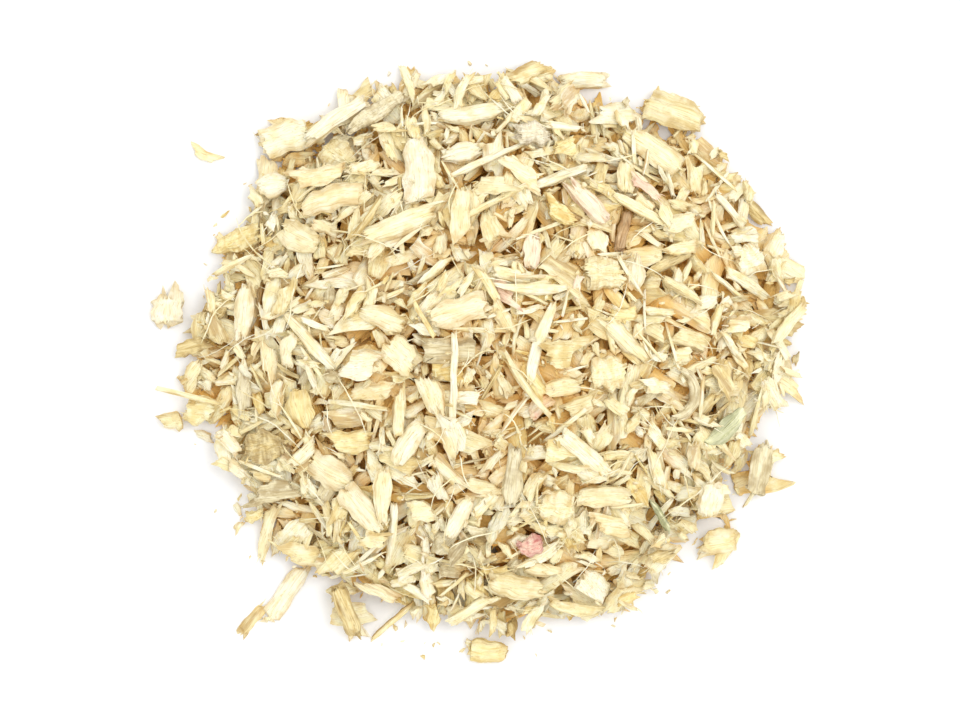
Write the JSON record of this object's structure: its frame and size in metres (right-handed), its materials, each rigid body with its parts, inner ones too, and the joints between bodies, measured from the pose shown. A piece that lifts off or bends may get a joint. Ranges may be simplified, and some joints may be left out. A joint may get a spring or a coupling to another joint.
{
  "type": "heap of cut dried poke root",
  "caption": "Loose low heap of cut and sifted dried poke root: pale flakes, planks, splinters and chunks.",
  "frame": {"origin": "on the surface that the heap lies on, under the heap's middle", "axes": "+Z up out of the heap; +X to the right and +Y up as seen from straight above"},
  "size_m": [0.1151, 0.1058, 0.0267],
  "materials": {
    "cream": "dry split wood, cream, matt",
    "pale": "dry split wood, pale yellow, matt",
    "grey_bark": "dry root bark, grey brown, rough",
    "tan": "dry split wood, tan, matt",
    "peach": "dry split wood, peach tan, matt",
    "pink": "dry wood with a pink stain, matt",
    "brown": "dry inner bark, dark brown, rough",
    "amber": "dry resinous wood, amber, matt",
    "bark": "dry root bark, brown, rough",
    "red": "dry wood with a berry-red stain, matt",
    "green": "dry leafy scrap, grey green, matt"
  },
  "bodies": {
    "root": {"small_chips": "cream", "pale_block": "pale", "ridged_plank": "pale", "bark_shard": "grey_bark", "tan_scale": "tan", "broad_flake": "peach", "round_chip": "pale", "holed_flake": "pale", "cream_plank": "cream", "bowed_plank": "pale", "cream_lens": "pale", "long_splinter": "pale", "straight_splinter": "cream", "ridge_block": "pale", "fan_flake": "tan", "grey_bark_chunk": "grey_bark", "frayed_flake": "cream", "split_plank": "pale", "olive_flake": "tan", "pink_chip": "pink", "narrow_plank": "cream", "brown_stub": "brown", "tan_chunk": "tan", "ribbed_flake": "pink", "pale_cluster": "pale", "bowed_splinter": "pale", "almond_flake": "pale", "bark_point": "amber", "two_tone_flake": "tan", "split_block": "pale", "slender_plank": "pale", "shell_flake": "cream", "cube_chip": "cream", "peach_slab": "peach", "amber_leaf": "amber", "bark_cup": "bark", "tall_splinter": "pale", "pale_tongue": "pale", "round_flake": "peach", "wedge_flake": "peach", "lemon_plank": "pale", "khaki_plank": "grey_bark", "triangle_flake": "cream", "tan_saddle": "tan", "red_chip": "red", "lemon_blade": "pale", "cream_blade": "cream", "s_plank": "pale", "crumbly_chunk": "cream", "fibre_curl": "grey_bark", "green_scrap": "green", "sage_strip": "grey_bark", "striped_block": "pale", "woody_stub": "bark", "frayed_tail": "pale", "rough_oval": "tan", "bark_foot": "amber", "pale_stray": "cream"}
  },
  "joints": []
}
